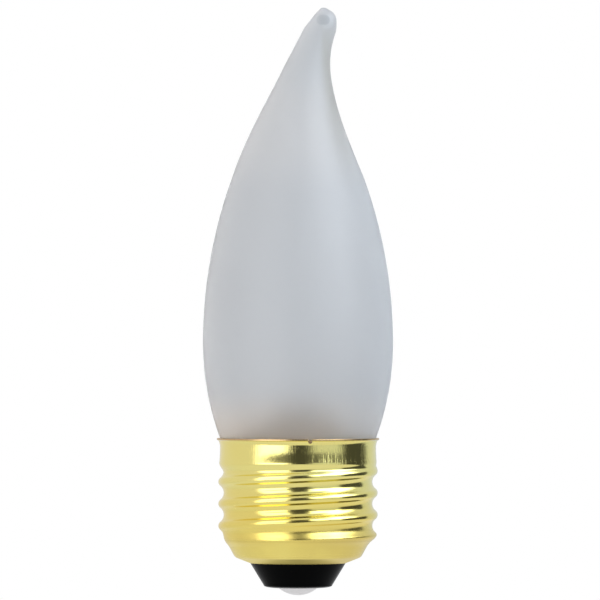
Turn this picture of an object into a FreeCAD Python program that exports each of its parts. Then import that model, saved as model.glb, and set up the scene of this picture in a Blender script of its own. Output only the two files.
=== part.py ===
"""Frosted flame-tip candle bulb with a medium screw cap, at real size in millimetres.

The lamp stands upright on +Z. The origin is the lowest point of its centre contact, on the axis
of the cap, and the tip of the glass leans towards +X.
"""

import FreeCAD, Part
import math
import os

import Sketcher

VECTOR = FreeCAD.Vector
ORIGIN = VECTOR(0, 0, 0)
AXIS_UP = VECTOR(0, 0, 1)

SIZES = {
    # Glass envelope
    "belly_radius": 15.68,
    "belly_height": 41.6,
    "lower_bow": 45.0,
    "upper_bow": 79.8,
    "root_height": 24.8,
    "neck_radius": 11.0,
    "neck_bottom": 16.4,
    "seal_bevel": 0.9,
    "recess_radius": 4.0,
    "recess_roof": 22.4,
    "stub_radius": 2.1,
    "stub_bottom": 12.6,
    # Bent tail of the glass, with its leans in degrees
    "bend_height": 69.1,
    "tail_length": 25.9,
    "first_bend": 97.3,
    "first_lean": 9.35,
    "second_bend": 37.0,
    "tip_radius": 2.48,
    "tip_taper": 0.014,
    # Screw shell, rolled from sheet
    "wall_thickness": 0.28,
    "crest_radius": 13.15,
    "root_radius": 12.27,
    "thread_pitch": 3.629,
    "crest_height": 9.64,
    "hole_radius": 6.9,
    "hole_height": 4.91,
    "base_slope": 0.39,
    "foot_radius": 10.42,
    "heel_round": 1.2,
    "cone_slope": 0.545,
    "runin_start": 8.0,
    "runin_end": 10.6,
    "runout_start": 20.1,
    "runout_end": 22.1,
    "skirt_radius": 12.97,
    "waist_radius": 12.93,
    "waist_height": 24.4,
    "flare_radius": 13.12,
    "flare_height": 25.5,
    "lip_radius": 13.4,
    "lip_under": 25.62,
    "lip_width": 0.38,
    "rim_height": 25.92,
    # Notch in the rim where the side lead is joined
    "notch_angle": -81.4,
    "notch_width": 0.44,
    "notch_floor": 24.9,
    "joint_radius": 0.34,
    "joint_height": 25.5,
    # Insulator
    "button_radius": 5.36,
    "button_bottom": 1.2,
    "button_top_radius": 7.84,
    "button_bevel": 0.2,
    "seat_gap": 0.02,
    "collar_radius": 6.7,
    "flange_radius": 8.6,
    "flange_top": 7.2,
    "cup_radius": 5.2,
    "cup_floor_radius": 2.2,
    "cup_floor": 3.6,
    # Centre contact and its solder
    "contact_radius": 3.0,
    "contact_thickness": 0.3,
    "tube_radius": 1.3,
    "tube_bore": 0.7,
    "tube_top": 4.4,
    "solder_radius": 3.2,
    "solder_fill": 2.2,
    # Leads
    "lead_radius": 0.08,
    "lead_exit": 3.1,
    "lead_end": 0.5,
    "lead_below": 0.9,
    # Cement between glass and shell
    "cement_radius": 12.56,
    "cement_lower_radius": 11.84,
    "cement_step": 22.4,
    "cement_bottom": 18.6,
    "cement_top": 24.6,
    "cement_slot": 0.5,
}

SECTORS = 37         # flats round the shell, each ruled between two turned sections
THREAD_STEPS = 23    # even steps in height at which the section of the thread is worked out
TAIL_RINGS = 6       # circles that the bent tail of the glass is lofted through

doc = FreeCAD.newDocument("candle_bulb")
sizes = doc.addObject("Spreadsheet::Sheet", "sizes")
for row, (alias, value) in enumerate(SIZES.items(), start=1):
    sizes.set(f"A{row}", alias)
    sizes.set(f"B{row}", str(value))
    sizes.setAlias(f"B{row}", alias)
doc.recompute()


def size(alias):
    """Return the number in the sheet's cell of that name."""
    return float(getattr(sizes, alias))


# Sketches and bodies


def new_sketch(body, name, role="XZ_Plane"):
    """Return a sketch on one of the body's own origin planes."""
    sketch = body.newObject("Sketcher::SketchObject", name)
    plane = next(item for item in body.Origin.OriginFeatures if item.Role == role)
    sketch.AttachmentSupport = [(plane, "")]
    sketch.MapMode = "FlatFace"
    return sketch


def new_body(name):
    """Return an empty body whose label is the name of its piece."""
    body = doc.addObject("PartDesign::Body", name)
    body.Label = name
    return body


def bind(sketch, kind, *geometry, value, expression):
    """Add a dimension to the sketch, and bind it to the expression."""
    index = sketch.addConstraint(Sketcher.Constraint(kind, *geometry, value))
    sketch.setExpression(f"Constraints[{index}]", expression)


def arc_between(start, end, radius, side):
    """Return the short arc from start to end, which bulges to the left (+1) or right (-1)."""
    chord = end - start
    rise = radius - math.sqrt(radius ** 2 - (chord.Length / 2) ** 2)
    left = VECTOR(-chord.y, chord.x, 0).normalize()
    return Part.Arc(start, start + chord * 0.5 + left * (rise * side), end)


def closed_outline(sketch, corners, arcs):
    """Draw a closed outline whose corners and arcs are bound to the sheet.

    Each corner is a pair of expressions, across and up, where "0" lies on that axis of the sketch.
    The arcs map the number of a side to its radius and to the side that it bulges to.
    """
    places = [
        VECTOR(float(sketch.evalExpression(across)), float(sketch.evalExpression(up)), 0)
        for across, up in corners
    ]
    sides = []
    for number, start in enumerate(places):
        end = places[(number + 1) % len(places)]
        curve = Part.LineSegment(start, end)
        if number in arcs:
            radius, side = arcs[number]
            curve = arc_between(start, end, float(sketch.evalExpression(radius)), side)
        geometry = sketch.addGeometry(curve)
        starts_here = sketch.getPoint(geometry, 1).distanceToPoint(start) < 1e-6
        sides.append((geometry, 1, 2) if starts_here else (geometry, 2, 1))
    for number, (geometry, first, last) in enumerate(sides):
        following, joint, _ = sides[(number + 1) % len(sides)]
        sketch.addConstraint(Sketcher.Constraint("Coincident", geometry, last, following, joint))
        across, up = corners[number]
        place = places[number]
        if across == "0":
            sketch.addConstraint(Sketcher.Constraint("PointOnObject", geometry, first, -2))
        else:
            bind(sketch, "DistanceX", -1, 1, geometry, first, value=place.x, expression=across)
        if up == "0":
            sketch.addConstraint(Sketcher.Constraint("PointOnObject", geometry, first, -1))
        else:
            bind(sketch, "DistanceY", -1, 1, geometry, first, value=place.y, expression=up)
        if number in arcs:
            radius = float(sketch.evalExpression(arcs[number][0]))
            bind(sketch, "Radius", geometry, value=radius, expression=arcs[number][0])


def add_turn(body, sketch, name):
    """Turn the sketch once round its own upright axis."""
    turn = body.newObject("PartDesign::Revolution", name)
    turn.Profile = sketch
    turn.ReferenceAxis = (sketch, ["V_Axis"])
    turn.Angle = 360
    return turn


def turned(name, corners, arcs=None):
    """Return a body turned about the axis of the lamp from a closed outline."""
    body = new_body(name)
    sketch = new_sketch(body, f"{name}_outline")
    closed_outline(sketch, corners, arcs or {})
    add_turn(body, sketch, f"{name}_turn")
    return body


# Glass


def side_at(bow, height):
    """Return the expression of the glass's radius at a height on its lower or upper bow."""
    return (
        f"(sizes.belly_radius - sizes.{bow}"
        f" + sqrt(sizes.{bow}^2 - (sizes.belly_height - {height})^2))"
    )


ROOT_RADIUS = side_at("lower_bow", "sizes.root_height")
ROOT_SLOPE = "tan(asin((sizes.belly_height - sizes.root_height) / sizes.lower_bow))"
NECK_TOP = f"(sizes.root_height - ({ROOT_RADIUS} - sizes.neck_radius) / {ROOT_SLOPE})"
SHOULDER_RISE = "(sizes.bend_height - sizes.belly_height)"
SHOULDER_REACH = f"sqrt(sizes.upper_bow^2 - {SHOULDER_RISE}^2)"
SHOULDER_RADIUS = side_at("upper_bow", "sizes.bend_height")


def tail_ring(share):
    """Return the expressions of the tail's lean, place and radius at a share of its length.

    The tail's middle line is two arcs, one after the other. Its radius is a cubic that leaves
    the shoulder and meets the tip with the taper that each of them has.
    """
    degrees = f"{180 / math.pi} * 1 deg"
    run = f"{share} * sizes.tail_length"
    first_run = f"sizes.first_bend * sizes.first_lean / {180 / math.pi}"
    first = f"(min({run}; {first_run}) / sizes.first_bend * {degrees})"
    lean = f"({first} + max(0; {run} - {first_run}) / sizes.second_bend * {degrees})"
    across = (
        f"sizes.first_bend * (1 - cos({first}))"
        f" + sizes.second_bend * (cos({first}) - cos({lean}))"
    )
    up = (
        f"sizes.bend_height + sizes.first_bend * sin({first})"
        f" + sizes.second_bend * (sin({lean}) - sin({first}))"
    )
    from_shoulder = (1 - share) ** 2 * (1 + 2 * share)
    from_tip = share ** 2 * (3 - 2 * share)
    shoulder_fall = share * (1 - share) ** 2
    tip_fall = share ** 2 * (1 - share)
    radius = (
        f"{from_shoulder} * {SHOULDER_RADIUS} + {from_tip} * sizes.tip_radius"
        f" - {shoulder_fall} * sizes.tail_length * {SHOULDER_RISE} / {SHOULDER_REACH}"
        f" + {tip_fall} * sizes.tail_length * sizes.tip_taper"
    )
    return lean, across, up, radius


def make_glass():
    """Blow the envelope: a turned body, a lofted tail that leans over, and a domed tip."""
    below_belly = "(sizes.root_height + sizes.belly_height) / 2"
    above_belly = "(sizes.belly_height + sizes.bend_height) / 2"
    corners = [
        ("0", "sizes.stub_bottom"),
        ("sizes.stub_radius / 2", "sizes.stub_bottom"),
        ("sizes.stub_radius", "sizes.stub_bottom + sizes.stub_radius / 2"),
        ("sizes.stub_radius", "sizes.recess_roof"),
        ("sizes.recess_radius", "sizes.recess_roof"),
        ("sizes.neck_radius - 2 * sizes.seal_bevel", "sizes.neck_bottom"),
        ("sizes.neck_radius - sizes.seal_bevel", "sizes.neck_bottom"),
        ("sizes.neck_radius", "sizes.neck_bottom + sizes.seal_bevel"),
        ("sizes.neck_radius", NECK_TOP),
        (ROOT_RADIUS, "sizes.root_height"),
        (side_at("lower_bow", below_belly), below_belly),
        ("sizes.belly_radius", "sizes.belly_height"),
        (side_at("upper_bow", above_belly), above_belly),
        (SHOULDER_RADIUS, "sizes.bend_height"),
        ("0", "sizes.bend_height"),
    ]
    arcs = {
        9: ("sizes.lower_bow", -1),
        10: ("sizes.lower_bow", -1),
        11: ("sizes.upper_bow", -1),
        12: ("sizes.upper_bow", -1),
    }
    body = turned("glass_bulb", corners, arcs)
    rings = []
    for number in range(TAIL_RINGS):
        lean, across, up, radius = tail_ring(number / (TAIL_RINGS - 1))
        ring = new_sketch(body, f"tail_ring_{number}", "XY_Plane")
        circle = ring.addGeometry(Part.Circle(ORIGIN, AXIS_UP, size("tip_radius")))
        ring.addConstraint(Sketcher.Constraint("Coincident", circle, 3, -1, 1))
        bind(ring, "Radius", circle, value=size("tip_radius"), expression=radius)
        ring.AttachmentOffset = FreeCAD.Placement(ORIGIN, VECTOR(0, 1, 0), 1)
        ring.setExpression("AttachmentOffset.Rotation.Angle", lean)
        ring.setExpression("AttachmentOffset.Base.x", across)
        ring.setExpression("AttachmentOffset.Base.z", up)
        rings.append(ring)
    tail = body.newObject("PartDesign::AdditiveLoft", "tail")
    tail.Profile = rings[0]
    tail.Sections = rings[1:]
    dome_outline = new_sketch(body, "dome_outline")
    dome_outline.AttachmentOffset = FreeCAD.Placement(ORIGIN, VECTOR(0, 0, -1), 1)
    dome_outline.setExpression("AttachmentOffset.Rotation.Angle", lean)
    dome_outline.setExpression("AttachmentOffset.Base.x", across)
    dome_outline.setExpression("AttachmentOffset.Base.y", up)
    tip = "sizes.tip_radius"
    closed_outline(dome_outline, [("0", "0"), (tip, "0"), ("0", tip)], {1: (tip, -1)})
    add_turn(body, dome_outline, "dome")
    return body


# Screw shell


def blend(low, high, value):
    """Return 0 below low and 1 above high, with a smooth rise between them."""
    share = min(max((value - low) / (high - low), 0), 1)
    return share * share * (3 - 2 * share)


def shell_radius(height, turn):
    """Return the outer radius of the shell at a height, at a share of a full turn.

    The thread is a wave that climbs one pitch a turn. It swells out of the cone at the bottom,
    and its groove dies away into the plain skirt at the top.
    """
    depth = (size("crest_radius") - size("root_radius")) / 2
    phase = (height - size("crest_height")) / size("thread_pitch") - turn
    wave = size("root_radius") + depth * (1 + math.cos(2 * math.pi * phase))
    groove = 1 - blend(size("runout_start"), size("runout_end"), height)
    thread = size("skirt_radius") + groove * (wave - size("skirt_radius"))
    cone_reach = size("cone_slope") * (height - foot_height())
    cone = min(size("foot_radius") + cone_reach, size("crest_radius"))
    return cone + blend(size("runin_start"), size("runin_end"), height) * (thread - cone)


def foot_height():
    """Return the height where the flat bottom and the cone would meet without the round."""
    return size("hole_height") + size("base_slope") * (size("foot_radius") - size("hole_radius"))


def in_section(radius, height):
    """Return a point of the section, in the half plane where the turn starts."""
    return VECTOR(radius, 0, height)


def inward(direction):
    """Return the direction across the sheet, from its outer face to its inner face."""
    return VECTOR(-direction.z, 0, direction.x).normalize()


def skin(turn, depth):
    """Return the edges of one face of the sheet in the section, from the hole up to the lip.

    The depth is 0 for the outer face and the sheet's thickness for the inner one. Above the heel
    the thickness is measured level, as a rolled sheet thins on the flanks of its thread.
    """
    along_base = VECTOR(1, 0, size("base_slope")).normalize()
    along_cone = VECTOR(size("cone_slope"), 0, 1).normalize()
    half_turn = along_base.getAngle(along_cone) / 2
    heel = size("heel_round")
    foot = in_section(size("foot_radius"), foot_height())
    centre = foot - along_base * (heel * math.tan(half_turn)) + inward(along_base) * heel
    heel_end = centre - inward(along_cone) * heel
    heel_points = [
        centre - inward(along_base) * (heel - depth),
        centre - inward(along_base + along_cone) * (heel - depth),
        heel_end - in_section(depth, 0),
    ]
    hole = in_section(size("hole_radius"), size("hole_height")) + inward(along_base) * depth

    step_height = (size("runout_end") - heel_end.z) / THREAD_STEPS
    heights = [heel_end.z + step_height * step for step in range(THREAD_STEPS + 1)]
    points = [in_section(shell_radius(height, turn) - depth, height) for height in heights]
    thread = Part.BSplineCurve()
    thread.interpolate(Points=points, Parameters=[float(step) for step in range(THREAD_STEPS + 1)])

    waist = in_section(size("waist_radius") - depth, size("waist_height"))
    flare = in_section(size("flare_radius") - depth, size("flare_height"))
    return [
        Part.LineSegment(hole, heel_points[0]),
        Part.Arc(*heel_points),
        thread,
        Part.LineSegment(points[-1], waist),
        Part.LineSegment(waist, flare),
    ]


def shell_section(turn):
    """Return the closed section of the sheet at a share of a full turn."""
    outer = skin(turn, 0)
    inner = skin(turn, size("wall_thickness"))
    lip = [
        outer[-1].EndPoint,
        in_section(size("lip_radius"), size("lip_under")),
        in_section(size("lip_radius"), size("rim_height")),
        in_section(size("lip_radius") - size("lip_width"), size("rim_height")),
        inner[-1].EndPoint,
    ]
    edges = [curve.toShape() for curve in outer]
    edges += Part.makePolygon(lip).Edges
    edges += [curve.toShape() for curve in reversed(inner)]
    edges.append(Part.LineSegment(inner[0].StartPoint, outer[0].StartPoint).toShape())
    section = Part.Wire(Part.__sortEdges__(edges))
    section.rotate(ORIGIN, AXIS_UP, 360 * turn)
    return section


def make_shell():
    """Roll the shell: ruled faces between the sheet's sections, and a notch in its rim."""
    sections = [shell_section(number / SECTORS) for number in range(SECTORS)]
    solid = Part.makeLoft(sections, True, True, True)
    notch = Part.makeBox(
        2 * size("lip_radius"),
        size("notch_width"),
        size("rim_height"),
        VECTOR(0, -size("notch_width") / 2, size("notch_floor")),
    )
    notch.rotate(ORIGIN, AXIS_UP, size("notch_angle"))
    shell = doc.addObject("Part::Feature", "screw_shell")
    shell.Label = "screw_shell"
    shell.Shape = solid.cut(notch)
    return shell


# Insulator, centre contact and solder


def base_at(radius, lift):
    """Return the expression of a height over the shell's flat bottom, measured along the axis."""
    return f"(sizes.hole_height + sizes.base_slope * ({radius} - sizes.hole_radius) + {lift})"


INNER_FACE = "sizes.wall_thickness * sqrt(1 + sizes.base_slope^2) + sizes.seat_gap"
BUTTON_TILT = (
    "atan((sizes.button_top_radius - sizes.button_radius)"
    " / (sizes.hole_height - sizes.button_bottom))"
)
CONTACT_TOP = "sizes.button_bottom + sizes.contact_thickness"


def make_insulator():
    """Mould the insulator: a tapered button outside, a collar, and a cupped flange inside."""
    corners = [
        ("sizes.contact_radius", "sizes.button_bottom"),
        ("sizes.button_radius - sizes.button_bevel", "sizes.button_bottom"),
        (
            f"sizes.button_radius + sizes.button_bevel * sin({BUTTON_TILT})",
            f"sizes.button_bottom + sizes.button_bevel * cos({BUTTON_TILT})",
        ),
        ("sizes.button_top_radius", base_at("sizes.button_top_radius", "-1 * sizes.seat_gap")),
        ("sizes.collar_radius", base_at("sizes.collar_radius", "-1 * sizes.seat_gap")),
        ("sizes.collar_radius", base_at("sizes.collar_radius", INNER_FACE)),
        ("sizes.flange_radius", base_at("sizes.flange_radius", INNER_FACE)),
        ("sizes.flange_radius", "sizes.flange_top"),
        ("sizes.cup_radius", "sizes.flange_top"),
        ("sizes.cup_floor_radius", "sizes.cup_floor"),
        ("sizes.tube_radius", "sizes.cup_floor"),
        ("sizes.tube_radius", CONTACT_TOP),
        ("sizes.contact_radius", CONTACT_TOP),
    ]
    return turned("insulator", corners)


def make_contact():
    """Draw the centre contact: a flat disc and the short tube that holds it in the insulator."""
    corners = [
        ("sizes.tube_bore", "sizes.button_bottom"),
        ("sizes.contact_radius", "sizes.button_bottom"),
        ("sizes.contact_radius", CONTACT_TOP),
        ("sizes.tube_radius", CONTACT_TOP),
        ("sizes.tube_radius", "sizes.tube_top"),
        ("sizes.tube_bore", "sizes.tube_top"),
    ]
    return turned("centre_contact", corners)


def make_solder():
    """Drop the solder: a dome under the contact and a plug in its tube, round the lead's end."""
    dome_bow = "(sizes.solder_radius^2 + sizes.button_bottom^2) / (2 * sizes.button_bottom)"
    corners = [
        ("0", "0"),
        ("sizes.solder_radius", "sizes.button_bottom"),
        ("sizes.tube_bore", "sizes.button_bottom"),
        ("sizes.tube_bore", "sizes.solder_fill"),
        ("sizes.lead_radius", "sizes.solder_fill"),
        ("sizes.lead_radius", "sizes.lead_end"),
        ("0", "sizes.lead_end"),
    ]
    return turned("contact_solder", corners, {0: (dome_bow, -1)})


# Cement


def make_cement():
    """Cast the cement between the neck and the shell, with a slot where the side lead passes."""
    corners = [
        ("sizes.neck_radius", "sizes.cement_bottom"),
        ("sizes.cement_lower_radius", "sizes.cement_bottom"),
        ("sizes.cement_lower_radius", "sizes.cement_step - 1.8 * sizes.cement_slot"),
        ("sizes.cement_radius", "sizes.cement_step"),
        ("sizes.cement_radius", "sizes.cement_top"),
        (f"{ROOT_RADIUS} - (sizes.root_height - sizes.cement_top) * {ROOT_SLOPE}", "sizes.cement_top"),
        ("sizes.neck_radius", NECK_TOP),
    ]
    body = turned("basing_cement", corners)
    slot_outline = new_sketch(body, "slot_outline", "XY_Plane")
    slot_outline.AttachmentOffset = FreeCAD.Placement(ORIGIN, AXIS_UP, size("notch_angle"))
    slot_outline.setExpression("AttachmentOffset.Rotation.Angle", "sizes.notch_angle * 1 deg")
    near, far = "sizes.neck_radius / 2", "2 * sizes.neck_radius"
    half = "sizes.cement_slot / 2"
    rectangle = [(near, f"-1 * {half}"), (far, f"-1 * {half}"), (far, half), (near, half)]
    closed_outline(slot_outline, rectangle, {})
    slot = body.newObject("PartDesign::Pocket", "slot")
    slot.Profile = slot_outline
    slot.Type = "ThroughAll"
    slot.Midplane = True
    return body


# Leads and the joint at the rim


def make_lead(name, points, angle=0):
    """Draw a lead of round wire with sharp bends, in the half plane at that angle."""
    path = Part.makePolygon(points)
    ring = Part.Circle(points[0], points[1] - points[0], size("lead_radius"))
    tube = path.makePipeShell([Part.Wire([ring.toShape()])], True, True, 1)
    tube.rotate(ORIGIN, AXIS_UP, angle)
    lead = doc.addObject("Part::Feature", name)
    lead.Label = name
    lead.Shape = tube
    return lead


def make_centre_lead():
    """Lead from the stem down to the centre contact, past the stub of the exhaust tube."""
    exit_radius = size("lead_exit")
    below_stub = size("stub_bottom") - size("lead_below")
    points = [
        in_section(-exit_radius, size("recess_roof")),
        in_section(-exit_radius, below_stub),
        in_section(0, below_stub - exit_radius),
        in_section(0, size("lead_end")),
    ]
    return make_lead("centre_lead", points)


def make_side_lead():
    """Lead from the stem, under the seal and up beside the neck, to the notch in the rim."""
    clear = 1.25 * size("lead_radius")
    beside_neck = size("neck_radius") + clear
    below_seal = size("neck_bottom") - size("lead_below")
    notch_drop = size("belly_height") - size("notch_floor")
    glass_reach = math.sqrt(size("lower_bow") ** 2 - notch_drop ** 2)
    at_notch = size("belly_radius") - size("lower_bow") + glass_reach + clear
    points = [
        in_section(size("lead_exit"), size("recess_roof")),
        in_section(size("lead_exit"), below_seal),
        in_section(beside_neck, below_seal),
        in_section(beside_neck, size("cement_bottom") + size("lead_below")),
        in_section(at_notch, size("notch_floor")),
        in_section(size("lip_radius") - clear, size("joint_height")),
    ]
    return make_lead("side_lead", points, size("notch_angle"))


def make_rim_joint(shell, lead, glass):
    """Spot the side joint: a bead in the notch, moulded to the shell and the lead."""
    bead = Part.makeSphere(size("joint_radius"), in_section(size("lip_radius"), size("joint_height")))
    bead.rotate(ORIGIN, AXIS_UP, size("notch_angle"))
    joint = doc.addObject("Part::Feature", "rim_joint")
    joint.Label = "rim_joint"
    joint.Shape = bead.cut([shell.Shape, lead.Shape, glass.Shape])
    return joint


def main():
    """Build every piece, check it, and write it to its own file."""
    glass = make_glass()
    shell = make_shell()
    side_lead = make_side_lead()
    doc.recompute()
    pieces = [
        glass,
        shell,
        make_insulator(),
        make_contact(),
        make_solder(),
        make_cement(),
        make_centre_lead(),
        side_lead,
        make_rim_joint(shell, side_lead, glass),
    ]
    doc.recompute()
    for item in doc.Objects:
        if "Invalid" in item.State or "Error" in item.State:
            raise RuntimeError(f"{item.Label} failed: {item.State}")
    os.makedirs("parts", exist_ok=True)
    for piece in pieces:
        shape = piece.Shape
        if shape.isNull() or not shape.isValid() or len(shape.Solids) != 1:
            raise RuntimeError(f"{piece.Label} isn't one valid solid")
        shape.exportStep(f"parts/{piece.Label}.step")
        print(f"{piece.Label}: {shape.Volume:.1f} mm3, {len(shape.Faces)} faces")


main()
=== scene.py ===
"""Dresses the bent-tip candle bulb: frosted glass, rolled brass screw shell, black insulator,
solder dome, and the white studio that it is photographed in."""

import math

import bpy
import numpy as np
from bpy.props import FloatProperty, FloatVectorProperty, IntProperty, PointerProperty
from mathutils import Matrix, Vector


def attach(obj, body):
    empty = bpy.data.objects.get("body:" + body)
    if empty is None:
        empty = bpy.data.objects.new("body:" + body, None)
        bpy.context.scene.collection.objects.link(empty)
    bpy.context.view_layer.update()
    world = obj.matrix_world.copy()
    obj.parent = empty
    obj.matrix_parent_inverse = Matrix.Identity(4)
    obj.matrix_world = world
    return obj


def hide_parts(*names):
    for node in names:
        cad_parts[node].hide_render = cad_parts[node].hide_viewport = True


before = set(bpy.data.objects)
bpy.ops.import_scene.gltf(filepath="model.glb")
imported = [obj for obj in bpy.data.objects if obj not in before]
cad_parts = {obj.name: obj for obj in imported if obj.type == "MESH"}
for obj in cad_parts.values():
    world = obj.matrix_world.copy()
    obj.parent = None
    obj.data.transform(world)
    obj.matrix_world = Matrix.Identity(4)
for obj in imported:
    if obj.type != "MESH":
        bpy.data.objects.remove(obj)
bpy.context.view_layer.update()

bl_info = {
    "name": "Candle Bulb",
    "version": (1, 0, 0),
    "blender": (4, 5, 0),
    "location": "View3D > Sidebar > Candle Bulb",
    "description": "Makes a frosted bent-tip candle bulb and its studio",
    "category": "Object",
}

BODY = "root"

# Units, and lengths in metres and angles in radians

MM = 0.001
DEGREES = 180 / math.pi
WHOLE_TURN = 2 * math.pi
SHARP_ANGLE = math.radians(42)
NEAR_AXIS = 0.01 * MM
CLIP_END = 20.0

# How many rings or points a stretch of a surface has, and how finely angles are told apart

LOWER_RINGS = 44
UPPER_RINGS = 46
TAIL_RINGS = 80
TIP_RINGS = 16
DOME_RINGS = 28
STEM_RINGS = 34
HEEL_RINGS = 14
OUTER_RINGS = 166
INNER_RINGS = 80
SKIRT_RINGS = 14
NOTCH_POINTS = 13
TURN_DECIMALS = 6
BUTTON_RINGS = 13
SOLDER_RINGS = 30
FLOOR_POINTS = 96

# The ways that the flats on the tip face

FACING = np.array([0.08, -0.98, 0.18]) / np.linalg.norm([0.08, -0.98, 0.18])
SHEARED = np.array([-0.764, 0.0, 0.645])
UPRIGHT = np.array([1.0, 0.0, 0.0])
UPPER = np.array([0.55, 0.0, 0.835])
BETWEEN = np.array([0.88, 0.0, 0.475])

# A Mix node's sockets for the share and two colours, and its output for a colour

MIX_INPUTS = (0, 6, 7)
MIX_OUTPUT = 2


def length(name, default, description):
    """Return a length property, in metres, whose default is given in millimetres."""
    return FloatProperty(
        name=name, description=description, default=default * MM, unit="LENGTH", precision=5
    )


def angle(name, degrees, description):
    """Return an angle property whose default is given in degrees."""
    return FloatProperty(
        name=name, description=description, default=math.radians(degrees), unit="ROTATION"
    )


def number(name, default, description):
    """Return a plain number property."""
    return FloatProperty(name=name, description=description, default=default)


def colour(name, default, description):
    """Return a linear colour property."""
    return FloatVectorProperty(
        name=name, description=description, default=default, size=3, subtype="COLOR"
    )


class GlassSizes(bpy.types.PropertyGroup):
    """Sizes of the blown envelope."""

    belly_radius: length("Belly radius", 15.68, "Largest radius of the glass")
    belly_height: length("Belly height", 41.6, "Height of the largest radius")
    lower_bow: length("Lower bow", 45.0, "Radius of the side below the belly")
    upper_bow: length("Upper bow", 79.8, "Radius of the side above the belly")
    root_height: length("Root height", 24.8, "Where the side turns into the neck")
    neck_radius: length("Neck radius", 11.0, "Radius of the neck inside the cap")
    neck_bottom: length("Neck bottom", 16.4, "Lowest point of the sealed neck")
    seal_bevel: length("Seal bevel", 0.9, "Bevel of the sealed edge")
    recess_radius: length("Recess radius", 4.0, "Radius at the roof of the recess")
    recess_roof: length("Recess roof", 22.4, "Height of the roof of the recess")
    stub_radius: length("Stub radius", 2.1, "Radius of the sealed exhaust stub")
    stub_bottom: length("Stub bottom", 12.6, "Height of the stub's end")
    bend_height: length("Bend height", 69.1, "Where the tail starts to lean")
    tail_length: length("Tail length", 25.9, "Length of the tail along its middle")
    first_bend: length("First bend", 97.3, "Radius of the gentle bend")
    first_lean: angle("First lean", 9.35, "Lean at the end of the gentle bend")
    second_bend: length("Second bend", 37.0, "Radius of the tighter bend")
    tip_radius: length("Tip radius", 2.48, "Radius of the dome at the tip")
    tip_taper: number("Tip taper", 0.014, "Taper where the tail meets the dome")
    tip_facet: length("Tip facet", 2.34, "From the dome's middle to the sealed flat")
    tip_shear: length("Tip shear", 1.88, "From there to the sheared side")
    tip_top: length("Tip top", 2.20, "From there to the flatter top")
    tip_side: length("Tip side", 2.06, "From there to the upright side")
    tip_corner: length("Tip corner", 2.20, "From there to the flat between those")
    wall: length("Wall", 0.55, "Thickness of the blown wall")
    cavity_floor: length("Cavity floor", 23.5, "Where the stem closes the hollow")
    stem_height: length("Stem height", 7.8, "How far the stem rises from that floor")
    stem_reach: length("Stem reach", 9.9, "Radius that the stem spreads to")
    stem_power: number("Stem power", 0.75, "Shape of its dome: 0.5 is round, 1 a parabola")
    around: IntProperty(name="Around", description="Points round the glass", default=208)


class ShellSizes(bpy.types.PropertyGroup):
    """Sizes of the rolled screw shell."""

    wall: length("Wall", 0.28, "Thickness of the sheet")
    crest_radius: length("Crest radius", 13.15, "Radius over the thread")
    root_radius: length("Root radius", 12.27, "Radius at the bottom of the thread")
    pitch: length("Pitch", 3.629, "Climb of the thread in one turn")
    crest_round: length("Crest round", 0.85, "Round of the crests in section")
    crest_height: length("Crest height", 9.64, "Height of the lowest crest at the right")
    hole_radius: length("Hole radius", 6.9, "Radius of the hole in the bottom")
    hole_height: length("Hole height", 4.91, "Height of that hole's edge")
    base_slope: number("Base slope", 0.39, "Rise of the flat bottom for each unit outward")
    foot_radius: length("Foot radius", 10.42, "Radius where bottom and cone would meet")
    heel_round: length("Heel round", 1.2, "Round between bottom and cone")
    cone_slope: number("Cone slope", 0.545, "Spread of the cone for each unit upward")
    runin_start: length("Run-in start", 8.0, "Where the thread starts to swell")
    runin_end: length("Run-in end", 10.6, "Where the thread is whole")
    runout_start: length("Run-out start", 20.1, "Where the groove starts to fade")
    runout_end: length("Run-out end", 22.1, "Where the skirt is plain")
    skirt_radius: length("Skirt radius", 12.97, "Radius of the plain skirt")
    waist_radius: length("Waist radius", 12.87, "Radius at the waist of the skirt")
    waist_height: length("Waist height", 24.4, "Height of the waist")
    flare_radius: length("Flare radius", 13.12, "Radius under the lip")
    flare_bow: length("Flare bow", 2.56, "Round between the waist and the lip")
    flare_height: length("Flare height", 25.5, "Height under the lip")
    lip_radius: length("Lip radius", 13.4, "Radius of the rim")
    lip_under: length("Lip underside", 25.62, "Height of the rim's lower edge")
    lip_width: length("Lip width", 0.38, "Width of the rim's top")
    rim_height: length("Rim height", 25.92, "Height of the rim's top")
    notch_angle: angle("Notch angle", -81.4, "Where the side lead is joined")
    notch_width: length("Notch width", 0.44, "Width of the notch in the rim")
    notch_floor: length("Notch floor", 24.9, "Height that the notch is pulled towards")
    notch_pull: number("Notch pull", 0.3, "Share of the way to that height")
    around: IntProperty(name="Around", description="Even points round the shell", default=264)


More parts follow.
